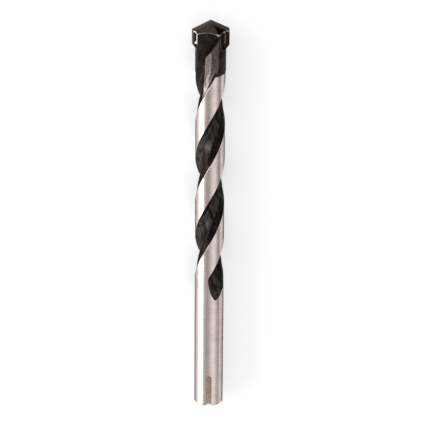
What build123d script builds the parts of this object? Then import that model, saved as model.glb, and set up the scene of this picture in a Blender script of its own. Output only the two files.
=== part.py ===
from build123d import *
from math import cos, hypot, radians, sin, tan
import os

# Masonry drill bit with a brazed carbide tip, in millimetres.
# It is worked out upright on the Z axis, with the end of the shank at zero and the tip up.
# Angles go round the axis anticlockwise as seen from the tip, which is the way the bit turns.
# At the end it is laid down, so that its axis runs along +Y and the tip points to +Y.

# Lengths along the bit, from the end of the shank
overall_length = 136.0
land_start = 39.0            # the shank tapers down to the ground lands from here
land_taper = 1.0             # length of that taper
flute_start = 47.5           # the helix starts here, and the cutter's run-out lies below
helix_end = 118.5            # the lands are ground up to here, and the flutes start to straighten
straight_start = 124.0       # from here the flutes run parallel to the axis

# Radii of the steel
shank_radius = 5.0
land_radius = 4.95
head_radius = 5.1
head_step = 0.6              # length of the step from the lands up to the head
end_break = 0.35             # small edge break round the end of the shank

# Drive grooves, two of them, open at the end of the shank
groove_width = 1.75
groove_length = 11.5
groove_depth = 1.3
groove_angle = -88.5

# Flutes, two of them, half a turn apart
flute_pitch = 54.8
flute_start_angle = -95.0    # where the land's leading edge lies at the start of the helix
head_edge_angle = -146.0     # where the other land's leading edge lies in the straight part
root_reach = 2.95            # corner between leading wall and flank, from the axis
root_angle = 18.4
heel_reach = 4.33            # corner where the flank bends over into the heel
heel_angle = 71.7
heel_end_reach = 5.86        # a point outside the bit, on the line that the heel follows
heel_end_angle = 116.3
root_fillet = 1.6
heel_fillet = 1.6
wall_overrun = 2.2           # how far the cutter's leading wall stands out past the land
cutter_clear = 7.2
head_narrowing = 13.0        # the flute is this many degrees narrower at the head
transition_steps = 8
wheel_radius = 16.3          # rounding of the run-out at the shank end of a flute
runout_middle = 45.0         # direction of the run-out, from the leading edge
runout_arc = 60.0

# Carbide plate, with its right half in the direction of plate_angle
plate_angle = 10.0
plate_width = 12.35
plate_thickness = 3.5
plate_height = 9.6
point_angle = 130.6
relief_angle = 35.0          # fall of the roof behind a cutting edge
bevel_angle = 25.0           # fall of the roof in front of a cutting edge
wing_side_height = 7.8       # from the tip down to the bottom corner of a wing's side
wing_chamfer_height = 1.5
wing_chamfer_width = 1.25

# Ground face in front of a cutting edge: places are along the plate, and below the tip
rake_depth = 0.12            # the ground face lies this far below the plate's rough face
wing_line = (-7.2, 3.2)      # its lower edge on the wing, from outside
wing_corner = (-5.2, 3.6)
wing_corner_round = 0.5
seam_start = (-4.85, 4.6)    # where it meets the steel, in an arch
seam_middle = (-1.2, 4.15)
seam_end = (2.1, 5.15)
rake_end_low = (2.4, 5.0)    # its edge beyond the middle of the plate
rake_end_high = (0.3, 1.3)

# Steel head round the plate
braze_gap = 0.14
cheek_skin = 0.1             # steel left between the braze and the flat cheek
cheek_corner = (2.1, 6.3)    # the cheek's far edge turns here, along the plate and below the tip
cheek_foot = (-2.1, 12.15)   # and turns upright again here
cheek_round = 2.6
cheek_wheel_radius = 26.0    # rounding of the cheek's lower end
shoulder_top = (4.34, 3.64)  # a point of the shoulder beside the plate
shoulder_rise = 42.4         # slope of the shoulder up towards the wing
shoulder_lift = 16.2         # and up towards the outside
flat_reach = 4.31            # flat ground on the shoulder behind a wing, from the axis
flat_angle = -33.6           # the way it faces, from the plate's right half
flat_drop = 8.8              # its lower end, below the tip
flat_runout = 2.0            # height and width of the slope under it
blank_drop = 3.0             # the steel ends this far below the tip before it is ground

spare = 1.0                  # how far a cutter runs on past the surface that it opens
big = 30.0                   # wider than anything here


def polar(reach, angle):
    """A point at this distance from the axis, in the direction of this angle."""
    return (reach * cos(radians(angle)), reach * sin(radians(angle)))


def turned(shape, angle):
    """The shape turned round the axis."""
    return Rot(0, 0, angle) * shape


def placed(shape, angle, height):
    """The shape turned round the axis and lifted along it."""
    return Pos(0, 0, height) * turned(shape, angle)


def flute_profile(narrowing=0.0):
    """Cross-section of one flute's cutter, with the leading edge of the land at angle zero."""
    edge = (land_radius, 0.0)
    root = polar(root_reach, root_angle)
    heel = polar(heel_reach, heel_angle - narrowing)
    heel_end = polar(heel_end_reach, heel_end_angle - narrowing)
    stretch = 1.0 + wall_overrun / hypot(edge[0] - root[0], edge[1] - root[1])
    wall_end = (root[0] + (edge[0] - root[0]) * stretch, root[1] + (edge[1] - root[1]) * stretch)
    inner = FilletPolyline(wall_end, root, heel, heel_end, radius=[root_fillet, heel_fillet])
    outer = Polyline(
        heel_end,
        (heel_end[0], cutter_clear),
        (cutter_clear, cutter_clear),
        (cutter_clear, wall_end[1]),
        wall_end,
    )
    return make_face([*inner.edges(), *outer.edges()]).face()


def helical_cutter():
    """The helical stretch of one flute."""
    rise = helix_end - flute_start
    twist = 360.0 * rise / flute_pitch
    section = placed(flute_profile(), flute_start_angle, flute_start)
    return Solid.extrude_linear_with_rotation(section, (0, 0, flute_start), (0, 0, rise), twist)


def runout_cutter():
    """The rounded end of a flute, where the round cutter lifts out of the shank."""
    section = placed(flute_profile(), flute_start_angle, flute_start)
    middle = flute_start_angle + runout_middle
    centre = polar(wheel_radius + root_reach, middle)
    along = (sin(radians(middle)), -cos(radians(middle)), 0)
    return revolve(section, Axis((*centre, flute_start), along), revolution_arc=runout_arc)


def head_sections():
    """Cross-sections of a flute while it straightens, turning ever more slowly."""
    rise = straight_start - helix_end
    start = flute_start_angle + 360.0 * (helix_end - flute_start) / flute_pitch - 180.0
    start -= 360.0 * round((start - head_edge_angle) / 360.0)
    first_turn = 360.0 * rise / flute_pitch
    sections = []
    for step in range(transition_steps + 1):
        s = step / transition_steps
        ease = 3 * s**2 - 2 * s**3
        angle = start + (head_edge_angle - start) * ease + first_turn * (s**3 - 2 * s**2 + s)
        profile = flute_profile(head_narrowing * ease)
        sections.append(placed(profile, angle, helix_end + rise * s))
    return sections


def flute_cutters():
    """All that one flute's cutter takes away, from the run-out to past the tip."""
    sections = head_sections()
    straight = extrude(sections[-1], overall_length - straight_start + spare)
    return [runout_cutter(), helical_cutter(), loft(sections), straight]


def steel_blank():
    """The turned steel: shank, ground lands and a slightly thicker head."""
    top = overall_length - blank_drop
    outline = Polyline(
        (0, 0),
        (shank_radius - end_break, 0),
        (shank_radius, end_break),
        (shank_radius, land_start),
        (land_radius, land_start + land_taper),
        (land_radius, helix_end),
        (head_radius, helix_end + head_step),
        (head_radius, top),
        (0, top),
        close=True,
    )
    return revolve(Plane.XZ * make_face(outline), Axis.Z)


def drive_groove():
    """A straight groove with a round end, open at the end of the shank."""
    half = groove_width / 2
    straight_part = groove_length - half
    slot = Pos(0, straight_part / 2 - spare) * Rectangle(groove_width, straight_part + 2 * spare)
    slot += Pos(0, straight_part) * Circle(half)
    cutter = extrude(Plane.XZ * slot, groove_depth + spare, dir=(0, -1, 0))
    seated = Pos(0, -(shank_radius - groove_depth), 0) * cutter
    return turned(seated, groove_angle + 90.0)


def on_plate(place):
    """A place along the plate and below the tip, as a point of the upright plane through the plate."""
    return (place[0], overall_length - place[1])


def ground_off(edges, depth):
    """All that lies in front of the plate inside this outline, down to a depth from the plate's middle."""
    face = Pos(0, -depth, 0) * (Plane.XZ * make_face(edges))
    return extrude(face, cutter_clear, dir=(0, -1, 0))


def cheek_cutter():
    """The flat ground in front of a cutting face by a wheel, which leaves a wall beside it."""
    depth = plate_thickness / 2 + braze_gap + cheek_skin
    corner, foot = on_plate(cheek_corner), on_plate(cheek_foot)
    top = overall_length + spare
    low = foot[1] - cheek_wheel_radius
    wall = FilletPolyline((corner[0], top), corner, foot, (foot[0], low), radius=cheek_round)
    rest = Polyline((foot[0], low), (-cutter_clear, low), (-cutter_clear, top), (corner[0], top))
    wheel = Pos(0, -depth - cheek_wheel_radius, foot[1]) * Rot(0, 90, 0) * Cylinder(cheek_wheel_radius, big)
    above = Pos(0, -depth, foot[1]) * Box(big, big, big, align=(Align.CENTER, Align.MAX, Align.MIN))
    return ground_off([*wall.edges(), *rest.edges()], depth) & (wheel + above)


def face_cutter(far_edge):
    """What is ground off to make a cutting face, with this line as its edge beyond the middle."""
    outside = on_plate(wing_line)
    start, middle, end = on_plate(seam_start), on_plate(seam_middle), on_plate(seam_end)
    top = overall_length + spare
    wing = FilletPolyline(outside, on_plate(wing_corner), start, radius=wing_corner_round)
    seam = ThreePointArc(start, middle, end)
    rest = Polyline(end, *far_edge, (far_edge[-1][0], top), (outside[0], top), outside)
    return ground_off([*wing.edges(), seam.edge(), *rest.edges()], plate_thickness / 2 - rake_depth)


def rake_cutter():
    """What is ground off the plate to make a cutting face."""
    return face_cutter([on_plate(rake_end_low), on_plate(rake_end_high)])


def bared_face_cutter():
    """The steel above the cheek that is ground off with the cutting face."""
    return face_cutter([on_plate((seam_end[0], blank_drop))])


def shoulder_cutter():
    """What is ground off a shoulder, so that it falls from the wing towards the heel."""
    rise = tan(radians(shoulder_rise))
    lift = tan(radians(shoulder_lift))
    reach, height = on_plate(shoulder_top)
    slope = Plane(origin=(reach, -plate_thickness / 2, height), z_dir=(-rise, lift, 1))
    block = Box(2 * big, 2 * big, big, align=(Align.CENTER, Align.CENTER, Align.MIN))
    beside = Box(big, big, big, align=(Align.MIN, Align.MAX, Align.CENTER))
    return (slope * block) & (Pos(cheek_corner[0], 0, overall_length) * beside)


def shoulder_flat_cutter():
    """What is ground off the outside of a shoulder, so that the wing stands clear of it."""
    foot = overall_length - flat_drop
    outline = Polyline(
        (flat_reach, foot),
        (flat_reach + flat_runout, foot - flat_runout),
        (cutter_clear, foot - flat_runout),
        (cutter_clear, overall_length),
        (flat_reach, overall_length),
        close=True,
    )
    block = extrude(Plane.XZ * make_face(outline), cutter_clear, both=True)
    return turned(block, flat_angle)


def plate_slot():
    """The slot across the head, a film of braze wider than the plate all round."""
    width = plate_thickness + 2 * braze_gap
    height = plate_height + braze_gap + spare
    block = Box(big, width, height, align=(Align.CENTER, Align.CENTER, Align.MIN))
    return Pos(0, 0, overall_length - plate_height - braze_gap) * block


def steel_before_slot():
    """The steel with all its cuts but the slot."""
    body = steel_blank()
    for cutter in [*flute_cutters(), drive_groove()]:
        body -= cutter
        body -= turned(cutter, 180)
    for cutter in [cheek_cutter(), bared_face_cutter(), shoulder_cutter(), shoulder_flat_cutter()]:
        body -= turned(cutter, plate_angle)
        body -= turned(cutter, plate_angle + 180)
    return body


def carbide_plate():
    """The carbide plate: roof-shaped top, round-ground ends and cut lower corners."""
    half = plate_width / 2
    low = overall_length - plate_height
    side = overall_length - wing_side_height
    outline = Polyline(
        (-half + wing_chamfer_width, low),
        (half - wing_chamfer_width, low),
        (half - wing_chamfer_width, side - wing_chamfer_height),
        (half, side),
        (half, overall_length + spare),
        (-half, overall_length + spare),
        (-half, side),
        (-half + wing_chamfer_width, side - wing_chamfer_height),
        close=True,
    )
    plate = extrude(Plane.XZ * make_face(outline), plate_thickness / 2, both=True)
    plate &= Pos(0, 0, low + plate_height / 2) * Cylinder(half, 2 * plate_height)
    slope = tan(radians(90.0 - point_angle / 2))
    relief = tan(radians(relief_angle))
    bevel = tan(radians(bevel_angle))
    relief_plane = Plane(origin=(0, 0, overall_length), z_dir=(slope, -relief, 1))
    bevel_plane = Plane(origin=(0, 0, overall_length), z_dir=(slope, bevel, 1))
    above = Box(big, big, big, align=(Align.CENTER, Align.CENTER, Align.MIN))
    for turn in (0, 180):
        plate -= turned(relief_plane * above, turn)
        plate -= turned(bevel_plane * above, turn)
        plate -= turned(rake_cutter(), turn)
    return turned(plate, plate_angle)


def laid_down(shape):
    """The shape laid on its side, with the axis along +Y."""
    return Rot(-90, 0, 0) * shape


steel = steel_before_slot()
slot = turned(plate_slot(), plate_angle)
plate = carbide_plate()
pieces = {
    "drill_body": steel - slot,
    "carbide_tip": plate,
    "braze_seam": (steel & slot) - plate,
}

os.makedirs("parts", exist_ok=True)
for name, piece in pieces.items():
    solids = piece.solids()
    print(name, len(solids), "solids", round(piece.volume, 3), "cubic mm")
    shape = solids[0] if len(solids) == 1 else Compound(solids)
    export_step(laid_down(shape), f"parts/{name}.step")
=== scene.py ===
import bmesh
import bpy
from math import cos, pi, radians, sin, tan
import numpy as np
from mathutils import Matrix, Vector


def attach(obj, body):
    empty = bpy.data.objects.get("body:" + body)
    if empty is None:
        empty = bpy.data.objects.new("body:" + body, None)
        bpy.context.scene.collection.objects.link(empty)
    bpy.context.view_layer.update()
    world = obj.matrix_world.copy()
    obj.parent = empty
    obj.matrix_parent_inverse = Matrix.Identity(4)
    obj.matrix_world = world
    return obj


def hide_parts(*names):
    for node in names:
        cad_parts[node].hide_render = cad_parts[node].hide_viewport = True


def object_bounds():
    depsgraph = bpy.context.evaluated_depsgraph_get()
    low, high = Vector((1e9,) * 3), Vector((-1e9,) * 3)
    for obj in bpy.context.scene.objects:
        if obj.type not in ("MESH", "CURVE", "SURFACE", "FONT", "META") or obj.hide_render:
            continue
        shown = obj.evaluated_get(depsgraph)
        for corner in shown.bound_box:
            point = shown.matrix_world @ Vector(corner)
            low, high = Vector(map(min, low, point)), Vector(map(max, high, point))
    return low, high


# The bit lies on its side: +Y runs from the shank's end to the tip, +Z is up.
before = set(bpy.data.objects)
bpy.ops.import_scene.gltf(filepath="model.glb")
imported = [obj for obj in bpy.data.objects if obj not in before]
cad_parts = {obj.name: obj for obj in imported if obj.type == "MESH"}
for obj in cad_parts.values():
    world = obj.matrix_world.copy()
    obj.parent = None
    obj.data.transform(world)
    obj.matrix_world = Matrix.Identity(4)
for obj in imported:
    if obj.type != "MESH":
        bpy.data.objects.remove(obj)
cadLow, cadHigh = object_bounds()
mm = 0.001
tip = cadHigh.y
floorHeight = cadLow.z
samePlace = 0.0005 * mm           # points nearer than this become one
shortestEdge = 0.0003 * mm        # shorter edges are dissolved
print("frame loaded, bit is", round(tip / mm, 2), "mm long")

# camera, at the photograph's angle: it looks down on the bit and leans over from the tip's side
shot = {
    "aim": (0.47 * mm, 70.5 * mm, 0.0),     # the point in the middle of the picture
    "tilt": 18.0,                           # between the view's direction and straight down, in degrees
    "distance": 481.0 * mm,
    "lens": 120.8,
    "sensor": 36.0,                         # width in mm, as the lens is
    "nearest": 10.0 * mm,                   # what is closer to the camera isn't drawn
    "roll": 0.39,                           # the picture's tip leans this far to the right, in degrees
}


def makeCamera(values):
    data = bpy.data.cameras.new("shotCamera")
    data.lens = values["lens"]
    data.sensor_width = values["sensor"]
    data.clip_start = values["nearest"]
    camera = bpy.data.objects.new("shotCamera", data)
    bpy.context.scene.collection.objects.link(camera)
    tilt = radians(values["tilt"])
    back = Vector((0, sin(tilt), cos(tilt)))              # from the aim to the camera
    up = Vector((0, cos(tilt), -sin(tilt)))
    up = Matrix.Rotation(radians(values["roll"]), 3, back) @ up
    right = up.cross(back)
    place = Matrix((right, up, back)).transposed().to_4x4()
    place.translation = Vector(values["aim"]) + back * values["distance"]
    camera.matrix_world = place
    bpy.context.scene.camera = camera


makeCamera(shot)
print("camera placed")


# shapes: all lengths are in mm until a mesh is made
def polar(reach, angle):
    # the point at this distance from the axis, this many degrees round it
    return np.stack([reach * np.cos(np.radians(angle)), reach * np.sin(np.radians(angle))], axis=-1)


def unit(vector):
    # the vector divided by its length
    return vector / np.linalg.norm(vector, axis=-1, keepdims=True)


def lineThrough(start, end, steps):
    # points evenly spaced from start up to but not including the end
    share = np.arange(steps)[:, None] / steps
    return start[..., None, :] * (1 - share) + end[..., None, :] * share


def roundedLine(corners, radii, steps, arcSteps):
    # straight runs between corners, and at each inner corner an arc that both runs touch: the centre
    # lies on the corner's bisector at radius / sin(half angle), and the arc turns from one touching
    # point to the other at an even pace
    parts = []
    start = corners[0]
    for before, corner, after, radius in zip(corners, corners[1:], corners[2:], radii):
        toBefore, toAfter = unit(before - corner), unit(after - corner)
        half = np.arccos(np.clip(np.sum(toBefore * toAfter, axis=-1, keepdims=True), -1, 1)) / 2
        centre = corner + unit(toBefore + toAfter) * radius / np.sin(half)
        first = corner + toBefore * radius / np.tan(half)
        last = corner + toAfter * radius / np.tan(half)
        parts.append(lineThrough(start, first, steps))
        share = np.arange(arcSteps)[:, None] / arcSteps
        turn = (pi - 2 * half)[..., None]
        spokes = np.sin((1 - share) * turn) * (first - centre)[..., None, :]
        spokes = spokes + np.sin(share * turn) * (last - centre)[..., None, :]
        parts.append(centre[..., None, :] + spokes / np.sin(turn))
        start = last
    parts.append(lineThrough(start, corners[-1], steps))
    parts.append(corners[-1][..., None, :])
    return np.concatenate(parts, axis=-2)


def arcThrough(start, middle, end, steps):
    # the circle through three points: its centre is as far from each of them
    start, middle, end = np.array(start), np.array(middle), np.array(end)
    centre = np.linalg.solve(2 * np.array([middle - start, end - start]),
                             np.array([middle @ middle - start @ start, end @ end - start @ start]))
    angles = np.unwrap([np.arctan2(*(point - centre)[::-1]) for point in (start, middle, end)])
    turn = np.degrees(np.linspace(angles[0], angles[2], steps))
    return centre + polar(np.linalg.norm(start - centre), turn)


def meshPiece(name, points, faces):
    mesh = bpy.data.meshes.new(name)
    mesh.from_pydata(points.reshape(-1, 3) * mm, [], faces)
    solid = bmesh.new()
    solid.from_mesh(mesh)
    bmesh.ops.recalc_face_normals(solid, faces=solid.faces)
    solid.to_mesh(mesh)
    solid.free()
    piece = bpy.data.objects.new(name, mesh)
    bpy.context.scene.collection.objects.link(piece)
    return piece


def tube(name, rings):
    # rings[i, j] is point j of closed ring i, and a flat face closes each end
    count, size = rings.shape[:2]
    ring = np.arange(size)
    low = ring[None, :] + size * np.arange(count - 1)[:, None]
    after = np.roll(low, -1, axis=1)
    quads = np.stack([low, after, after + size, low + size], axis=2)
    faces = quads.reshape(-1, 4).tolist() + [ring[::-1].tolist(), (ring + size * (count - 1)).tolist()]
    return meshPiece(name, rings, faces)


def applyModifiers(piece):
    shaped = bpy.data.meshes.new_from_object(piece.evaluated_get(bpy.context.evaluated_depsgraph_get()))
    piece.modifiers.clear()
    piece.data = shaped


def carve(piece, cutters, operation="DIFFERENCE"):
    # each cutter is taken from the piece, or joined to it, and then removed
    for cutter in cutters:
        modifier = piece.modifiers.new("cut", "BOOLEAN")
        modifier.operation = operation
        modifier.solver = "MANIFOLD"
        modifier.object = cutter
        applyModifiers(piece)
        bpy.data.objects.remove(cutter)
    return piece


def finishSurface(piece, sharpFrom):
    # points in the same place are merged, and edges of this many degrees and more stay sharp
    mesh = bmesh.new()
    mesh.from_mesh(piece.data)
    bmesh.ops.remove_doubles(mesh, verts=mesh.verts, dist=samePlace)
    bmesh.ops.dissolve_degenerate(mesh, edges=mesh.edges, dist=shortestEdge)
    bmesh.ops.triangulate(mesh, faces=mesh.faces)
    for face in mesh.faces:
        face.smooth = True
    for edge in mesh.edges:
        edge.smooth = len(edge.link_faces) == 2 and edge.calc_face_angle(0) < radians(sharpFrom)
    openEdges = sum(not edge.is_manifold for edge in mesh.edges)
    mesh.to_mesh(piece.data)
    mesh.free()
    mended = piece.data.validate()
    print(piece.name, len(piece.data.polygons), "triangles, open edges:", openEdges, "mended:", mended)


def copyOfNode(name, pieceName, flatWithin=0.5):
    # a copy of a CAD node's mesh with its loose triangles joined up, and made one face where they lie
    # within this many degrees of each other
    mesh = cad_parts[name].data.copy()
    solid = bmesh.new()
    solid.from_mesh(mesh)
    bmesh.ops.remove_doubles(solid, verts=solid.verts, dist=samePlace)
    bmesh.ops.dissolve_limit(solid, angle_limit=radians(flatWithin), verts=solid.verts, edges=solid.edges)
    solid.to_mesh(mesh)
    solid.free()
    mesh.materials.clear()
    for attribute in [item.name for item in mesh.attributes if item.name in ("custom_normal", "sharp_edge")]:
        mesh.attributes.remove(mesh.attributes[attribute])
    piece = bpy.data.objects.new(pieceName, mesh)
    bpy.context.scene.collection.objects.link(piece)
    return piece


# materials
def grey(level):
    return (level, level, level, 1)


def addNode(tree, kind, **sockets):
    # a node with its inputs set or linked by name, or by number as n0, n1
    node = tree.nodes.new(kind)
    for name, value in sockets.items():
        if name[0] == "n" and name[1:].isdigit():
            socket = node.inputs[int(name[1:])]
        else:
            socket = node.inputs[name.replace("_", " ")]
        if isinstance(value, bpy.types.NodeSocket):
            tree.links.new(value, socket)
        else:
            socket.default_value = value
    return node


def newMaterial(name):
    material = bpy.data.materials.new(name)
    material.use_nodes = True
    tree = material.node_tree
    tree.nodes.clear()
    output = tree.nodes.new("ShaderNodeOutputMaterial")
    return material, tree, output


def coat(piece, material):
    piece.data.materials.clear()
    piece.data.materials.append(material)


def calc(tree, operation, *values):
    node = addNode(tree, "ShaderNodeMath", **{"n" + str(i): value for i, value in enumerate(values)})
    node.operation = operation
    return node.outputs[0]


def product(tree, first, *others):
    for other in others:
        first = calc(tree, "MULTIPLY", first, other)
    return first


def weighted(tree, first, firstWeight, second, secondWeight):
    # the sum of two values, each times its weight
    return calc(tree, "ADD", product(tree, first, firstWeight), product(tree, second, secondWeight))


def rest(tree, share):
    return calc(tree, "SUBTRACT", 1.0, share)


def stretched(tree, place, factors):
    node = addNode(tree, "ShaderNodeVectorMath", n0=place, n1=factors)
    node.operation = "MULTIPLY"
    return node.outputs["Vector"]


def between(tree, value, limits, curve="SMOOTHSTEP"):
    # from 0 to 1 while the value goes from the first limit to the second, or, where there are four
    # numbers, from the third to the fourth
    low, high, start, end = (*limits, 0.0, 1.0)[:4]
    node = addNode(tree, "ShaderNodeMapRange", Value=value, From_Min=low, From_Max=high,
                   To_Min=start, To_Max=end)
    node.interpolation_type = curve
    return node.outputs["Result"]


def mixColour(tree, share, first, second):
    # a mix node's colours are its inputs 6 and 7
    node = tree.nodes.new("ShaderNodeMix")
    node.data_type = "RGBA"
    for index, value in ((0, share), (6, first), (7, second)):
        if isinstance(value, bpy.types.NodeSocket):
            tree.links.new(value, node.inputs[index])
        else:
            node.inputs[index].default_value = value
    return node.outputs[2]


def mixValue(tree, share, first, second):
    # a mix node's plain values are its inputs 2 and 3
    return addNode(tree, "ShaderNodeMix", n0=share, n2=first, n3=second).outputs[0]


def noise(tree, place, grain):
    scale, detail, roughness = grain
    node = addNode(tree, "ShaderNodeTexNoise", Vector=place, Scale=scale, Detail=detail, Roughness=roughness)
    return node.outputs["Fac"]


def placeInMm(tree):
    # Object coordinates in mm, and their three parts
    place = tree.nodes.new("ShaderNodeTexCoord").outputs["Object"]
    place = stretched(tree, place, (1 / mm, 1 / mm, 1 / mm))
    x, y, z = addNode(tree, "ShaderNodeSeparateXYZ", Vector=place).outputs
    return place, x, y, z


def fromAxis(tree, x, z):
    # the distance from the bit's axis, which is the root of x times x plus z times z
    return calc(tree, "SQRT", calc(tree, "ADD", product(tree, x, x), product(tree, z, z)))


def placeOnPlate(tree, x, z):
    # how far along the carbide plate from the head's middle, and how far out in front of it, where the
    # side away from the camera reads as this one turned half round
    angle = radians(head["plateAngle"])
    out = weighted(tree, x, sin(angle), z, cos(angle))
    along = calc(tree, "SUBTRACT", product(tree, x, cos(angle)), product(tree, z, sin(angle)))
    return product(tree, along, calc(tree, "SIGN", out)), calc(tree, "ABSOLUTE", out)


def bumpFrom(tree, height, depth):
    return addNode(tree, "ShaderNodeBump", Height=height, Distance=depth * mm, Strength=1.0).outputs["Normal"]


def finishMaterial(tree, output, **sockets):
    shader = addNode(tree, "ShaderNodeBsdfPrincipled", **sockets)
    tree.links.new(shader.outputs[0], output.inputs["Surface"])


# steel body, of the same sizes as the frame's drill_body
steel = {
    "length": 136.0,
    "top": 133.0,                 # the blank ends here before the head is ground
    "landStart": 39.0,
    "landTaper": 1.0,
    "fluteStart": 47.5,
    "helixEnd": 118.5,
    "straightStart": 124.0,
    "shankRadius": 5.0,
    "landRadius": 4.95,
    "headRadius": 5.1,
    "headStep": 0.6,
    "endBreak": 0.35,
    "around": 192,                # points round the blank
    "ringEvery": 1.0,
    "sharpFrom": 24.0,            # degrees
    "flute": {
        "pitch": 54.8,
        "startAngle": -95.0,
        "headAngle": -146.0,
        "root": (2.95, 18.4),     # distance from the axis, and degrees from the leading edge
        "heel": (4.33, 71.7),
        "heelEnd": (5.86, 116.3),
        "fillets": (1.6, 1.6),
        "narrowing": 13.0,        # degrees that the flute loses on its way into the head
        "overrun": 2.2,           # the cutter goes this far past the leading edge
        "clear": 7.2,             # and its outer corners lie this far out
        "points": (6, 9),         # of the cutter's outline, on each straight run and in each fillet
        "helixStep": 0.4,
        "bendSteps": 25,
        "straightStep": 1.0,
        "beyondTip": 1.5,
        "wheel": 16.3,            # radius of the wheel that leaves the run-out
        "wheelAngle": 45.0,
        "wheelArc": 60.0,
        "wheelSteps": 46,
        "behindEdge": 35.0,       # a land's own angles begin this many degrees behind its leading edge
    },
    "groove": {
        "width": 1.75,
        "length": 11.5,
        "depth": 1.3,
        "angle": -88.5,
        "arcPoints": 25,
        "spare": 1.0,             # the cutter goes this far past the steel
    },
    # head, ground round the carbide plate: places are along the plate and below the tip
    "head": {
        "plateAngle": 10.0,
        "plateThickness": 3.5,
        "plateHeight": 9.6,
        "gap": 0.14,
        "skin": 0.1,              # steel that the cheek leaves in front of the slot
        "cheekCorner": (2.1, 6.3),
        "cheekFoot": (-2.1, 12.15),
        "cheekRound": 2.6,
        "cheekPoints": (6, 14),   # on each straight run and in each arc, as for the wing
        "cheekWheel": 26.0,       # radius of the wheel that grinds the cheek
        "cheekArc": (40.0, 60),   # degrees of the wheel, and points on them
        "rakeDepth": 0.12,
        "wingLine": [(-7.2, 3.2), (-5.2, 3.6)],
        "wingRound": 0.5,
        "wingPoints": (2, 6),
        "seam": [(-4.85, 4.6), (-1.2, 4.15), (2.1, 5.15)],
        "seamPoints": 24,
        "edgePoint": 2.0,         # one point of the straight edge that goes up from the seam
        "shoulderTop": (4.34, 3.64),
        "shoulderRise": 42.4,
        "shoulderLift": 16.2,
        "shoulderOverlap": 0.03,  # its cutter goes this far into the cheek's
        "shoulderHeight": 5.0,    # and this far above the tip
        "flatReach": 4.31,        # from the axis
        "flatAngle": -33.6,       # degrees round the axis, from along the plate
        "flatDrop": 8.8,
        "flatRunout": 2.0,
        "clear": 7.2,             # cutters end this far from the axis or from the plate's middle
        "spare": 1.0,             # and this far above the tip, and the shoulder's goes this far past clear
        "wheelSpare": 2.0,        # the wheel's shape goes this far past clear and above the tip
        "wheelHalf": 12.0,        # and this far to each side
        "slotHalf": 9.0,
    },
    # bright where it is ground, blackened in the flutes and on the head
    "finish": {
        "ground": (0.72, 0.622, 0.586, 1),
        "groundStain": (0.555, 0.46, 0.412, 1),
        "black": (0.012, 0.0093, 0.0079, 1),
        "blackWorn": (0.056, 0.045, 0.040, 1),
        "head": (0.020, 0.014, 0.011, 1),
        "headWorn": (0.043, 0.034, 0.029, 1),
        # the flank's two colours stand partly for painted light
        "flank": (0.14, 0.115, 0.104, 1),
        "litFlank": (0.44, 0.375, 0.345, 1),
        "groove": (0.52, 0.42, 0.365, 1),
        "grooveWorn": (0.37, 0.29, 0.24, 1),
        "groundRim": grey(0.0),                      # tint of the gloss where a surface is seen edge on
        "blackRim": grey(0.6),
        # noises by scale, detail and roughness, and how they are stretched
        "ringMarks": (9.0, 5.0, 0.7),
        "ringStretch": (0.12, 1.0, 0.12),
        "fluteMarks": (5.0, 5.0, 0.65),
        "fluteStreaks": (0.75, 2.0, 0.5),
        "fluteStretch": (1.0, 0.035, 1.0),
        "cloud": (0.35, 4.0, 0.6),
        "patches": (3.2, 5.0, 0.6),
        "patchStretch": (1.0, 0.45, 1.0),
        # limits in mm from the axis
        "outside": (4.885, 4.935),
        "flankRimShade": (4.5, 4.7, 0.0, 0.8),
        "shadedHeelReach": (4.5, 4.65),
        # limits in mm along the bit
        "endFace": 0.4,
        "headEdge": (118.4, 118.6),
        "headFade": (109.0, 119.0),
        "flankFrom": (110.0, 112.0),
        "flankFade": (122.0, 113.0),
        "flankBlack": (122.0, 111.0, 15.0, 88.0),    # and the degrees of the flute that are black there
        "shadedHeelFrom": (113.6, 114.8),
        "shadedHeelTo": (119.6, 118.4),
        "pastGroove": 2.0,                           # the groove's colour ends this far past the groove
        # limits in mm along the plate, and the last one in mm in front of its middle
        "headLean": (4.8, 1.2, 0.0, 0.7),
        "handled": (-4.0, -4.6, 0.1, 0.45),
        "cheekDepth": (2.03, 2.09),
        # limits in degrees from the leading edge of a land
        "wallWear": (10.0, 32.0, 0.10, 0.0),
        "heelWearShade": (58.0, 74.0, 0.0, 0.24),
        "flankEdge": (0.0, 8.0),
        "flankTo": (108.0, 102.0),
        # weights of cloud and ring marks, or of flute marks, and limits in what noises add up to
        "stainWeights": (0.5, 0.6),
        "stain": (0.42, 0.8),
        "grooveWeights": (0.5, 0.5),
        "grooveStain": (0.38, 0.62),
        "markWeight": 0.6,
        "wear": (0.62, 1.0),
        "headWear": (0.45, 0.75),
        "flankPatches": (0.3, 0.65, 0.55, 1.0),
        # roughness by the marks, and their depth in mm
        "groundRough": (0.2, 0.8, 0.2, 0.34),
        "blackRough": (0.2, 0.8, 0.3, 0.46),
        "flankRough": 0.48,
        "markDepth": 0.02,
        "groundShare": 0.3,                          # of that depth, on ground steel
    },
}
flute, groove, head = steel["flute"], steel["groove"], steel["head"]


def steelBlank(values):
    # a profile of heights and radii, carried round the axis
    shank, edge = values["shankRadius"], values["endBreak"]
    land, helixEnd = values["landStart"], values["helixEnd"]
    profile = [(0, shank - edge), (edge, shank), (land, shank),
               (land + values["landTaper"], values["landRadius"]), (helixEnd, values["landRadius"]),
               (helixEnd + values["headStep"], values["headRadius"]), (values["top"], values["headRadius"])]
    heights, radii = np.array(profile).T
    fine = np.arange(values["ringEvery"], values["top"], values["ringEvery"])
    fine = np.unique(np.concatenate([heights, fine]))[:, None]
    reach = np.interp(fine, heights, radii)
    angle = 2 * pi * np.arange(values["around"]) / values["around"]
    rings = np.stack([reach * np.cos(angle), fine + 0 * angle, reach * np.sin(angle)], axis=-1)
    return tube("drillSteel", rings)


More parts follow.
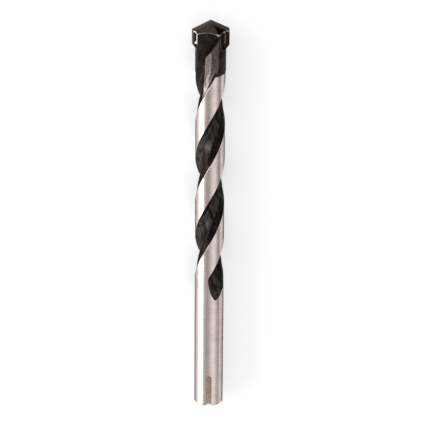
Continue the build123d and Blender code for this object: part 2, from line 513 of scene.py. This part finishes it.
def fluteSection(values, narrowing):
    # the flute cutter's closed outline for each amount of narrowing, with the leading edge at angle zero
    narrowing = np.atleast_1d(narrowing)
    same = np.zeros_like(narrowing)
    edge = polar(steel["landRadius"] + same, same)
    root = polar(values["root"][0] + same, values["root"][1] + same)
    heel = polar(values["heel"][0] + same, values["heel"][1] - narrowing)
    heelEnd = polar(values["heelEnd"][0] + same, values["heelEnd"][1] - narrowing)
    wallEnd = edge + unit(edge - root) * values["overrun"]
    inner = roundedLine([wallEnd, root, heel, heelEnd], values["fillets"], *values["points"])
    clear = values["clear"] + same
    outer = [np.stack([heelEnd[:, 0], clear], axis=-1), np.stack([clear, clear], axis=-1),
             np.stack([clear, wallEnd[:, 1]], axis=-1)]
    return np.concatenate([inner, np.stack(outer, axis=1)], axis=1)


def fluteTurn(values, heights):
    # how far the flute has turned at each height: evenly up the helix, then ever less until it runs
    # straight, and how far it has come in that change, from 0 to 1
    start, helixEnd = steel["fluteStart"], steel["helixEnd"]
    perMm = 360.0 / values["pitch"]
    rise = steel["straightStart"] - helixEnd
    share = np.clip((heights - helixEnd) / rise, 0, 1)
    ease = 3 * share**2 - 2 * share**3
    first = values["startAngle"] + (helixEnd - start) * perMm
    goal = values["headAngle"] + 180.0
    goal += 360.0 * round((first - goal) / 360.0)
    bend = first + (goal - first) * ease + perMm * rise * (share**3 - 2 * share**2 + share)
    helix = values["startAngle"] + (heights - start).clip(0) * perMm
    return np.where(heights < helixEnd, helix, bend), ease


def fluteCutter(values, turn):
    # the outline carried along the bit: first round the wheel's centre, then up with the flute's turn
    start, helixEnd, straight = steel["fluteStart"], steel["helixEnd"], steel["straightStart"]
    step = values["straightStep"]
    section = fluteSection(values, 0.0)[0]
    heights = np.concatenate([np.arange(start, helixEnd, values["helixStep"]),
                              np.linspace(helixEnd, straight, values["bendSteps"]),
                              np.arange(straight + step, steel["length"] + values["beyondTip"], step)])
    angles, ease = fluteTurn(values, heights)
    sections = fluteSection(values, values["narrowing"] * ease)
    turned = np.radians(angles)[:, None]
    x = sections[..., 0] * np.cos(turned) - sections[..., 1] * np.sin(turned)
    y = sections[..., 0] * np.sin(turned) + sections[..., 1] * np.cos(turned)
    upper = np.stack([x, heights[:, None] + 0 * x, -y], axis=-1)
    # run-out: each point keeps its distance from the wheel's axle and swings back towards the shank
    middle = radians(values["wheelAngle"])
    reach = values["wheel"] + values["root"][0]
    out = section @ np.array([cos(middle), sin(middle)])
    side = section @ np.array([-sin(middle), cos(middle)])
    swing = np.radians(np.linspace(values["wheelArc"], 0, values["wheelSteps"])[:-1])[:, None]
    away = reach - (reach - out) * np.cos(swing)
    down = (reach - out) * np.sin(swing)
    angle = radians(values["startAngle"]) + middle
    x = away * cos(angle) - side * sin(angle)
    y = away * sin(angle) + side * cos(angle)
    lower = np.stack([x, start - down, -y], axis=-1)
    return tube("fluteCutter", np.concatenate([lower, upper]) * np.array([turn, 1, turn]))


def grooveCutter(values, turn):
    # a slot with a half-round end, carried out from the groove's floor
    half, spare = values["width"] / 2, values["spare"]
    middle = values["length"] - half
    bend = np.radians(np.linspace(0, 180, values["arcPoints"]))
    across = np.concatenate([half * np.cos(bend), [-half, half]])
    along = np.concatenate([middle + half * np.sin(bend), [-spare, -spare]])
    angle = radians(values["angle"])
    rings = []
    for out in (steel["shankRadius"] - values["depth"], steel["shankRadius"] + spare):
        x = out * cos(angle) - across * sin(angle)
        y = out * sin(angle) + across * cos(angle)
        rings.append(np.stack([turn * x, along, -turn * y], axis=-1))
    return tube("grooveCutter", np.stack(rings))


def fromPlate(w, d, drop, turn):
    # along the plate, out from its middle and below the tip, to the bit's own frame
    angle = radians(head["plateAngle"])
    x = w * cos(angle) + d * sin(angle)
    z = d * cos(angle) - w * sin(angle)
    return np.stack([turn * x, steel["length"] - drop + 0 * x, turn * z], axis=-1)


def platePrism(name, outline, near, far, turn):
    # an outline on the plate, carried from one distance in front of it to another
    w, drop = np.array(outline, dtype=float).T
    return tube(name, np.stack([fromPlate(w, near, drop, turn), fromPlate(w, far, drop, turn)]))


def cheekCutter(values, turn):
    # an outline that runs down to the cheek's corner, slants to its foot and goes on down, kept only
    # where the grinding wheel reaches
    depth = values["plateThickness"] / 2 + values["gap"] + values["skin"]
    reach, clear, spare = values["cheekWheel"], values["clear"], values["spare"]
    cornerW, cornerDrop = values["cheekCorner"]
    footW, footDrop = values["cheekFoot"]
    low = footDrop + reach
    corners = [(cornerW, -spare), (cornerW, cornerDrop), (footW, footDrop), (footW, low)]
    corners = [np.array(corner) for corner in corners]
    wall = roundedLine(corners, (values["cheekRound"],) * 2, *values["cheekPoints"])
    outline = np.concatenate([wall, [(-clear, low), (-clear, -spare)]])
    prism = platePrism("cheekCutter", outline, depth, clear, turn)
    # the wheel's own shape, seen along the plate: flat down to the foot and an arc below it
    arc, points = values["cheekArc"]
    bend = np.radians(np.linspace(0, arc, points))
    far, high = clear + values["wheelSpare"], -values["wheelSpare"]
    d = np.concatenate([depth + reach * (1 - np.cos(bend)), [far, far, depth]])
    below = footDrop + reach * np.sin(bend)
    drop = np.concatenate([below, [below[-1], high, high]])
    half = values["wheelHalf"]
    wheel = tube("wheel", np.stack([fromPlate(w, d, drop, turn) for w in (-half, half)]))
    return carve(prism, [wheel], "INTERSECT")


def bareFaceCutter(values, turn):
    # the outline in which the plate's face is bare: the wing's line with a rounded corner, the arched
    # seam, and straight up from both ends
    corners = [np.array(place) for place in (*values["wingLine"], values["seam"][0])]
    wing = roundedLine(corners, (values["wingRound"],), *values["wingPoints"])
    arch = arcThrough(*values["seam"], values["seamPoints"])
    edge, spare = values["seam"][-1][0], values["spare"]
    above = [(edge, values["edgePoint"]), (edge, -spare), (values["wingLine"][0][0], -spare)]
    outline = np.concatenate([wing[:-1], arch, above])
    near = values["plateThickness"] / 2 - values["rakeDepth"]
    return platePrism("faceCutter", outline, near, values["clear"], turn)


def shoulderCutter(values, turn):
    # above a sloping plane, and only beyond the cheek's wall
    rise, lift = tan(radians(values["shoulderRise"])), tan(radians(values["shoulderLift"]))
    topW, topDrop = values["shoulderTop"]
    far = values["clear"] + values["spare"]
    w = np.array([values["cheekCorner"][0] - values["shoulderOverlap"], far])
    rings = []
    for d in (0.0, far):
        drop = topDrop - rise * (w - topW) + lift * (d - values["plateThickness"] / 2)
        drop = np.concatenate([drop, [-values["shoulderHeight"]] * 2])
        rings.append(fromPlate(np.concatenate([w, w[::-1]]), d, drop, turn))
    return tube("shoulderCutter", np.stack(rings))


def flatCutter(values, turn):
    # all beyond a plane that stands upright beside the axis, with a run-out at 45 degrees at its foot
    reach, foot = values["flatReach"], values["flatDrop"]
    run, clear = values["flatRunout"], values["clear"]
    r = np.array([reach, reach + run, clear, clear, reach])
    drop = np.array([foot, foot + run, foot + run, 0, 0])
    angle = radians(values["flatAngle"])
    rings = []
    for across in (-clear, clear):
        w, d = r * cos(angle) + across * sin(angle), -r * sin(angle) + across * cos(angle)
        rings.append(fromPlate(w, d, drop, turn))
    return tube("flatCutter", np.stack(rings))


def slotCutter(values):
    # a box as thick and as deep as the plate with the gap round it
    thick = values["plateThickness"] / 2 + values["gap"]
    low = values["plateHeight"] + values["gap"]
    half, high = values["slotHalf"], -values["spare"]
    outline = [(-half, high), (half, high), (half, low), (-half, low)]
    return platePrism("slotCutter", outline, -thick, thick, 1)


def markFlutes(piece):
    # each point's angle from the leading edge of its own land, for the steel's colours
    points = np.empty(3 * len(piece.data.vertices))
    piece.data.vertices.foreach_get("co", points)
    x, y, z = points.reshape(-1, 3).T / mm
    angle = np.degrees(np.arctan2(-z, x)) - fluteTurn(flute, y)[0]
    angle = (angle + flute["behindEdge"]) % 180.0 - flute["behindEdge"]
    mark = piece.data.attributes.new("fluteAngle", "FLOAT", "POINT")
    mark.data.foreach_set("value", angle.astype(np.float32))


def steelBody():
    piece = steelBlank(steel)
    cutters = []
    for turn in (1, -1):
        cutters += [fluteCutter(flute, turn), grooveCutter(groove, turn), cheekCutter(head, turn),
                    bareFaceCutter(head, turn), shoulderCutter(head, turn), flatCutter(head, turn)]
    cutters.append(slotCutter(head))
    carve(piece, cutters)
    finishSurface(piece, steel["sharpFrom"])
    markFlutes(piece)
    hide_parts("drill_body")
    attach(piece, "root")
    return piece


def steelMaterial(values):
    material, tree, output = newMaterial("groundSteel")
    place, x, y, z = placeInMm(tree)
    reach = fromAxis(tree, x, z)
    along, out = placeOnPlate(tree, x, z)
    attribute = addNode(tree, "ShaderNodeAttribute")
    attribute.attribute_name = "fluteAngle"
    inFlute = attribute.outputs["Fac"]
    # the flutes' own frame turns with the helix, so marks in it run along the flutes
    twist = product(tree, y, radians(360.0 / flute["pitch"]))
    twisted = addNode(tree, "ShaderNodeVectorRotate", Vector=place, Angle=twist)
    twisted.rotation_type = "Y_AXIS"
    alongFlute = stretched(tree, twisted.outputs["Vector"], values["fluteStretch"])
    ringMarks = noise(tree, stretched(tree, place, values["ringStretch"]), values["ringMarks"])
    fluteMarks = noise(tree, alongFlute, values["fluteMarks"])
    fluteStreaks = noise(tree, alongFlute, values["fluteStreaks"])
    cloud = noise(tree, place, values["cloud"])
    patches = noise(tree, stretched(tree, place, values["patchStretch"]), values["patches"])
    # the lands, the shank and its end face are ground. The black of the head runs down a little
    # further towards the middle of the face
    outside = between(tree, reach, values["outside"])
    inside = rest(tree, outside)
    lean = between(tree, calc(tree, "ABSOLUTE", along), values["headLean"])
    onHead = between(tree, calc(tree, "ADD", y, lean), values["headEdge"])
    ground = product(tree, outside, rest(tree, onHead))
    ground = calc(tree, "MAXIMUM", ground, calc(tree, "LESS_THAN", y, values["endFace"]))
    cloudWeight, ringWeight = values["stainWeights"]
    stain = between(tree, weighted(tree, cloud, cloudWeight, ringMarks, ringWeight), values["stain"])
    bright = mixColour(tree, stain, values["ground"], values["groundStain"])
    # the flutes are worn in streaks, most on the leading wall, and painted shade keeps them black along the
    # heel
    wear = calc(tree, "ADD", fluteStreaks, product(tree, fluteMarks, values["markWeight"]))
    wear = calc(tree, "ADD", wear, between(tree, inFlute, values["wallWear"]))
    wear = calc(tree, "SUBTRACT", wear, between(tree, inFlute, values["heelWearShade"]))
    dark = mixColour(tree, between(tree, wear, values["wear"]), values["black"], values["blackWorn"])
    # the straight flute's flank gets a lighter colour, partly worn patches and partly painted light, brighter
    # towards the lands, and the same painted light covers the cheek's wall, which lies in shade. Its leading
    # wall is black: the black spreads over it where the flute starts to turn
    past = calc(tree, "SUBTRACT", inFlute, between(tree, y, values["flankBlack"]))
    flank = product(tree, between(tree, y, values["flankFrom"]), between(tree, past, values["flankEdge"]),
                    between(tree, inFlute, values["flankTo"]), between(tree, out, values["cheekDepth"]),
                    between(tree, patches, values["flankPatches"]), inside)
    flankLightAndShade = mixColour(tree, between(tree, y, values["flankFade"]), values["flank"], values["litFlank"])
    # painted shade: darker again towards the flank's outer edge, which damps the highlight there
    flankLightAndShade = mixColour(tree, between(tree, reach, values["flankRimShade"]), flankLightAndShade, values["flank"])
    dark = mixColour(tree, flank, dark, flankLightAndShade)
    # painted shade: the heel beside the flank is darkened to the head's black, and the head is worn most
    # along its left edge
    heel = product(tree, between(tree, reach, values["shadedHeelReach"]), between(tree, y, values["shadedHeelFrom"]),
                   between(tree, y, values["shadedHeelTo"]))
    dark = mixColour(tree, heel, dark, values["head"])
    handled = product(tree, outside, between(tree, along, values["handled"]))
    handled = calc(tree, "ADD", cloud, handled)
    headSkin = mixColour(tree, between(tree, handled, values["headWear"]), values["head"], values["headWorn"])
    blackened = calc(tree, "MAXIMUM", product(tree, onHead, outside), between(tree, y, values["headFade"]))
    dark = mixColour(tree, product(tree, blackened, rest(tree, flank)), dark, headSkin)
    # the drive grooves are bare too, and a little darker than the shank
    grooveEnd = groove["length"] + values["pastGroove"]
    inGroove = product(tree, calc(tree, "LESS_THAN", y, grooveEnd), inside)
    cloudWeight, ringWeight = values["grooveWeights"]
    stain = between(tree, weighted(tree, cloud, cloudWeight, ringMarks, ringWeight), values["grooveStain"])
    dark = mixColour(tree, inGroove, dark, mixColour(tree, stain, values["groove"], values["grooveWorn"]))
    colour = mixColour(tree, ground, dark, bright)
    roughBlack = mixValue(tree, flank, between(tree, fluteMarks, values["blackRough"]), values["flankRough"])
    rough = mixValue(tree, ground, roughBlack, between(tree, ringMarks, values["groundRough"]))
    marks = mixValue(tree, ground, fluteMarks, ringMarks)
    depth = mixValue(tree, ground, 1.0, values["groundShare"])
    normal = bumpFrom(tree, product(tree, marks, depth), values["markDepth"])
    rim = mixColour(tree, ground, values["blackRim"], values["groundRim"])
    finishMaterial(tree, output, Base_Color=colour, Metallic=1.0, Roughness=rough, Specular_Tint=rim,
                   Normal=normal)
    return material


drillSteel = steelBody()
print("steel body made")
coat(drillSteel, steelMaterial(steel["finish"]))
print("steel finished")


# carbide plate: the frame's own shape, with its edges dulled
plate = {
    "edge": 0.07,                                # mm that the edges are dulled by
    "edgeSteps": 2,
    "edgeFrom": 20.0,                            # degrees between faces
    "sharpFrom": 30.0,
    "ground": (0.045, 0.034, 0.030, 1),
    "groundPale": (0.064, 0.049, 0.043, 1),
    "bevel": (0.072, 0.065, 0.061, 1),
    "relief": (0.036, 0.034, 0.031, 1),
    "raw": (0.015, 0.0112, 0.0092, 1),
    "rawPale": (0.054, 0.043, 0.036, 1),
    "wedge": (0.006, 0.004, 0.003, 1),
    # noises by scale, detail and roughness, and how one is stretched
    "grain": (7.0, 5.0, 0.7),
    "blotch": (1.6, 4.0, 0.65),
    "lines": (2.0, 3.0, 0.6),
    "lineStretch": (0.4, 6.0, 0.4),
    # limits in mm out from the plate's middle
    "face": (1.56, 1.6),
    "rawFace": (1.69, 1.72),
    "sides": (1.6, 1.5),
    # limits in mm along the plate, below the tip and from the axis
    "rawWing": (-4.4, -4.2),
    "wedgeFrom": (0.2, 2.4),
    "wedgeTo": (4.4, 3.6),
    "wedgeDrop": (5.6, 5.0),
    "wingEnds": (6.05, 6.12),
    # limits in the noises
    "paleGround": (0.35, 0.7),
    "rawRoof": (0.4, 0.75, 0.0, 0.75),
    "rawGrain": (0.25, 0.68),
    "paleGrain": (0.42, 0.75, 0.0, 0.6),
    "endGrain": (0.3, 0.8),
    "rough": (0.25, 0.75, 0.32, 0.5),
    "heightWeights": (0.6, 0.4),                 # of grain and lines
    "depth": 0.03,                               # mm
}


def carbidePlate(values):
    piece = copyOfNode("carbide_tip", "carbidePlate")
    dull = piece.modifiers.new("dull", "BEVEL")
    dull.width = values["edge"] * mm
    dull.segments = values["edgeSteps"]
    dull.limit_method = "ANGLE"
    dull.angle_limit = radians(values["edgeFrom"])
    applyModifiers(piece)
    finishSurface(piece, values["sharpFrom"])
    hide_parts("carbide_tip")
    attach(piece, "root")
    return piece


def carbideMaterial(values):
    material, tree, output = newMaterial("sinteredCarbide")
    place, x, y, z = placeInMm(tree)
    reach = fromAxis(tree, x, z)
    along, out = placeOnPlate(tree, x, z)
    drop = calc(tree, "SUBTRACT", steel["length"], y)
    grain = noise(tree, place, values["grain"])
    blotch = noise(tree, place, values["blotch"])
    lines = noise(tree, stretched(tree, place, values["lineStretch"]), values["lines"])
    pale = between(tree, blotch, values["paleGround"])
    raked = mixColour(tree, pale, values["ground"], values["groundPale"])
    # in front of a cutting edge the roof is a pale bevel, behind it a darker relief
    slope = mixColour(tree, calc(tree, "GREATER_THAN", along, 0.0), values["bevel"], values["relief"])
    slope = mixColour(tree, between(tree, blotch, values["rawRoof"]), slope, values["raw"])
    colour = mixColour(tree, between(tree, out, values["face"]), slope, raked)
    # the face that the grinding left rough, nearly black in the wedge beside the ground one
    raw = mixColour(tree, between(tree, grain, values["rawGrain"]), values["raw"], values["rawPale"])
    raw = mixColour(tree, between(tree, along, values["rawWing"]), raw, values["raw"])
    raw = mixColour(tree, between(tree, grain, values["paleGrain"]), raw, values["rawPale"])
    shaded = product(tree, between(tree, along, values["wedgeFrom"]),
                     between(tree, drop, values["wedgeDrop"]), between(tree, along, values["wedgeTo"]))
    raw = mixColour(tree, shaded, raw, values["wedge"])
    colour = mixColour(tree, between(tree, out, values["rawFace"]), colour, raw)
    # the wings' ends and the sides below the roof are rough too
    ends = product(tree, between(tree, reach, values["wingEnds"]), between(tree, out, values["sides"]))
    endSkin = mixColour(tree, between(tree, grain, values["endGrain"]), values["raw"], values["rawPale"])
    colour = mixColour(tree, ends, colour, endSkin)
    grainWeight, lineWeight = values["heightWeights"]
    height = weighted(tree, grain, grainWeight, lines, lineWeight)
    finishMaterial(tree, output, Base_Color=colour, Metallic=1.0,
                   Roughness=between(tree, blotch, values["rough"]),
                   Normal=bumpFrom(tree, height, values["depth"]))
    return material


carbide = carbidePlate(plate)
coat(carbide, carbideMaterial(plate))
print("carbide plate made")


# braze: the film in the slot, with the beads that stand out of it. A bead has its path along the plate,
# out from its middle and below the tip, and its radius at each point
braze = {
    "beads": {
        "arch": [(-4.85, 1.80, 4.62, 0.18), (-4.1, 1.82, 4.30, 0.14), (-2.6, 1.82, 4.15, 0.12),
                 (-1.2, 1.82, 4.17, 0.10), (0.4, 1.82, 4.44, 0.12), (1.3, 1.82, 4.74, 0.14),
                 (2.05, 1.84, 5.14, 0.21), (2.4, 1.84, 5.27, 0.19)],
        "leftSeam": [(-4.85, 1.80, 4.55, 0.15), (-4.80, 1.80, 5.3, 0.14), (-4.80, 1.80, 6.1, 0.14),
                     (-4.95, 1.80, 6.8, 0.21), (-5.2, 1.72, 7.25, 0.34), (-5.5, 1.68, 7.45, 0.24)],
        "wingLine": [(-6.1, 1.66, 3.42, 0.13), (-5.7, 1.66, 3.48, 0.17), (-5.3, 1.67, 3.64, 0.17),
                     (-5.1, 1.69, 3.97, 0.15), (-4.88, 1.74, 4.5, 0.15)],
        "rightSeam": [(2.35, 1.78, 5.25, 0.15), (3.0, 1.80, 4.90, 0.09), (3.7, 1.80, 4.26, 0.08),
                      (4.3, 1.80, 3.75, 0.12), (4.48, 1.78, 4.6, 0.12), (4.46, 1.76, 6.0, 0.09),
                      (4.44, 1.74, 7.6, 0.14)],
        "rightWing": [(4.6, 1.74, 3.55, 0.09), (5.3, 1.74, 3.6, 0.13), (6.0, 1.70, 3.7, 0.1)],
    },
    "step": 0.06,                                # mm between rings
    "fewest": 24,                                # rings
    "around": 14,                                # points of a ring
    "evened": 9,                                 # rings that the running mean spans
    # waves that a bead swells in: size, radians per mm and start in radians
    "swell": [(0.20, 2.9, 1.0), (0.12, 5.3, 2.0), (0.07, 11.7, 0.0)],
    "endLength": 0.14,                           # mm that an end narrows over
    "endLeast": 0.04,                            # the square of the radius's share that is left there
    "squash": (1.3, 0.75, 1.3),
    "sharpFrom": 35.0,
    "bright": (0.93, 0.87, 0.80, 1),
    "warm": (0.70, 0.55, 0.43, 1),
    "thin": (0.30, 0.225, 0.185, 1),
    "burnt": (0.035, 0.026, 0.021, 1),
    # noises by scale, detail and roughness
    "patch": (1.5, 4.0, 0.6),
    "grain": (9.0, 3.0, 0.6),
    # limits in mm along the plate, and the last one in mm below the tip
    "archFrom": (-4.7, -4.1),
    "archTo": (2.0, 1.6),
    "rightHalf": (2.5, 3.1, 0.0, 0.72),
    "low": (8.15, 8.45),
    # limits in the noises, and what patch adds to grain
    "brightPatch": (0.35, 0.6),
    "patchWeight": 0.6,
    "burntGrain": (0.95, 1.1, 0.0, 0.8),
    "rough": (0.3, 0.7, 0.2, 0.42),
    "depth": 0.02,                               # mm
}


def bead(name, stations, turn, values):
    # a tube whose radius swells and shrinks: the stations are joined by a line, evened out by a running
    # mean, and a ring stands square to the line at each step
    stations = np.array(stations)
    length = np.concatenate([[0], np.cumsum(np.linalg.norm(np.diff(stations[:, :3], axis=0), axis=1))])
    at = np.linspace(0, length[-1], max(int(length[-1] / values["step"]), values["fewest"]))
    line = np.stack([np.interp(at, length, column) for column in stations.T], axis=1)
    span = values["evened"]
    padded = np.pad(line, ((span // 2, span // 2), (0, 0)), mode="edge")
    line = np.stack([np.convolve(column, np.ones(span) / span, mode="valid") for column in padded.T], axis=1)
    swell = np.ones_like(at)
    for size, rate, start in values["swell"]:
        swell = swell + size * np.sin(at * rate + start)
    toEnd = (1 - np.minimum(at, length[-1] - at) / values["endLength"]).clip(0, 1)
    radius = line[:, 3] * swell * np.sqrt(np.clip(1 - toEnd ** 2, values["endLeast"], 1))
    forward = unit(np.gradient(line[:, :3], axis=0))
    side = unit(np.cross(forward, np.array([0.0, 1.0, 0.0])))
    lift = np.cross(side, forward)
    angle = 2 * pi * np.arange(values["around"]) / values["around"]
    ring = np.cos(angle)[:, None] * side[:, None, :] + np.sin(angle)[:, None] * lift[:, None, :]
    points = line[:, None, :3] + radius[:, None, None] * ring * np.array(values["squash"])
    return tube(name, fromPlate(points[..., 0], points[..., 1], points[..., 2], turn))


def brazeSeam(values):
    piece = copyOfNode("braze_seam", "brazeSeam")
    paths = values["beads"].items()
    beads = [bead(name, stations, turn, values) for turn in (1, -1) for name, stations in paths]
    carve(piece, beads, "UNION")
    finishSurface(piece, values["sharpFrom"])
    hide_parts("braze_seam")
    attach(piece, "root")
    return piece


def brazeMaterial(values):
    material, tree, output = newMaterial("brazeMetal")
    place, x, y, z = placeInMm(tree)
    along = placeOnPlate(tree, x, z)[0]
    drop = calc(tree, "SUBTRACT", steel["length"], y)
    patch = noise(tree, place, values["patch"])
    grain = noise(tree, place, values["grain"])
    metal = mixColour(tree, between(tree, patch, values["brightPatch"]), values["warm"], values["bright"])
    onArch = product(tree, between(tree, along, values["archFrom"]), between(tree, along, values["archTo"]))
    metal = mixColour(tree, onArch, metal, values["thin"])
    burnt = calc(tree, "ADD", grain, product(tree, patch, values["patchWeight"]))
    burnt = between(tree, burnt, values["burntGrain"])
    # the right half, and all of it low down, is burnt nearly black
    most = between(tree, along, values["rightHalf"])
    most = calc(tree, "MAXIMUM", most, between(tree, drop, values["low"]))
    colour = mixColour(tree, calc(tree, "MAXIMUM", burnt, most), metal, values["burnt"])
    finishMaterial(tree, output, Base_Color=colour, Metallic=1.0,
                   Roughness=between(tree, grain, values["rough"]),
                   Normal=bumpFrom(tree, grain, values["depth"]))
    return material


seam = brazeSeam(braze)
coat(seam, brazeMaterial(braze))
print("braze made")


# floor and light
studio = {
    "floorSize": 1.6,
    "floorColour": grey(0.93),
    "whiteShare": 0.5,                  # how far the floor's look is plain white, whatever falls on it
    "box": {"place": (-0.74, tip / 2, 0.31), "size": (0.42, 1.1), "power": 6.0},
    # the sky's light from left to right, near the horizon and above it
    "horizon": [(0.0, 2.6), (0.2, 1.6), (0.6, 0.85), (1.0, 0.35)],
    "overhead": [(0.0, 0.7), (0.25, 0.5), (0.33, 0.38), (0.43, 0.40), (0.57, 0.66), (0.70, 1.05),
                 (0.82, 1.1), (0.925, 0.6), (0.975, 0.24), (1.0, 0.12)],
    "overheadFrom": (0.03, 0.14),       # limits in the upward part of a direction
    "behindTip": 1.25,
    "tipSide": (0.1, 0.5),              # in its part along the bit
    "belowShank": 2.2,
    "shankSide": (-0.56, -0.8),
    "shankHeight": (0.12, 0.35),
}


def makeFloor(values):
    half = values["floorSize"] / 2
    mesh = bpy.data.meshes.new("floor")
    corners = [(x, y, floorHeight) for x, y in ((-half, -half), (half, -half), (half, half), (-half, half))]
    mesh.from_pydata(corners, [], [(0, 1, 2, 3)])
    floor = bpy.data.objects.new("floor", mesh)
    bpy.context.scene.collection.objects.link(floor)
    material, tree, output = newMaterial("paleFloor")
    shade = addNode(tree, "ShaderNodeBsdfDiffuse", Color=values["floorColour"])
    plain = addNode(tree, "ShaderNodeEmission", Strength=1.0)
    rays = tree.nodes.new("ShaderNodeLightPath")
    seen = calc(tree, "MAXIMUM", rays.outputs["Is Camera Ray"], rays.outputs["Is Glossy Ray"])
    seen = calc(tree, "MAXIMUM", seen, rays.outputs["Is Transmission Ray"])
    share = product(tree, seen, values["whiteShare"])
    mixed = addNode(tree, "ShaderNodeMixShader", n0=share, n1=shade.outputs[0], n2=plain.outputs[0])
    tree.links.new(mixed.outputs[0], output.inputs["Surface"])
    mesh.materials.append(material)


def softBox(name, values):
    # a lamp that faces the bit's middle, with its long side along the bit
    light = bpy.data.lights.new(name, "AREA")
    light.shape = "RECTANGLE"
    light.size, light.size_y = values["size"]
    light.energy = values["power"]
    lamp = bpy.data.objects.new(name, light)
    bpy.context.scene.collection.objects.link(lamp)
    forward = (Vector((0, tip / 2, 0)) - Vector(values["place"])).normalized()
    side = forward.cross(Vector((0, 1, 0))).normalized()
    place = Matrix((side, side.cross(forward), -forward)).transposed().to_4x4()
    place.translation = values["place"]
    lamp.matrix_world = place


def lightRamp(tree, value, stops):
    node = addNode(tree, "ShaderNodeValToRGB", Fac=value)
    ramp = node.color_ramp
    ramp.interpolation = "EASE"
    while len(ramp.elements) < len(stops):
        ramp.elements.new(0.5)
    for element, (position, level) in zip(ramp.elements, stops):
        element.position = position
        element.color = grey(level)
    return node.outputs["Color"]


def makeSky(values):
    # the sky's light depends on direction alone: two ramps across the bit, and plain light at its ends
    world = bpy.data.worlds.new("studio")
    bpy.context.scene.world = world
    world.use_nodes = True
    tree = world.node_tree
    direction = tree.nodes.new("ShaderNodeTexCoord").outputs["Generated"]
    x, y, z = addNode(tree, "ShaderNodeSeparateXYZ", Vector=direction).outputs
    across = between(tree, x, (-1.0, 1.0), "LINEAR")
    sky = mixColour(tree, between(tree, z, values["overheadFrom"]),
                    lightRamp(tree, across, values["horizon"]), lightRamp(tree, across, values["overhead"]))
    sky = mixColour(tree, between(tree, y, values["tipSide"]), sky, grey(values["behindTip"]))
    below = product(tree, between(tree, y, values["shankSide"]), between(tree, z, values["shankHeight"]))
    sky = mixColour(tree, below, sky, grey(values["belowShank"]))
    tree.links.new(sky, tree.nodes["Background"].inputs["Color"])


makeFloor(studio)
softBox("leftBox", studio["box"])
makeSky(studio)
bpy.context.scene.view_settings.view_transform = "Standard"
print("floor and light set")
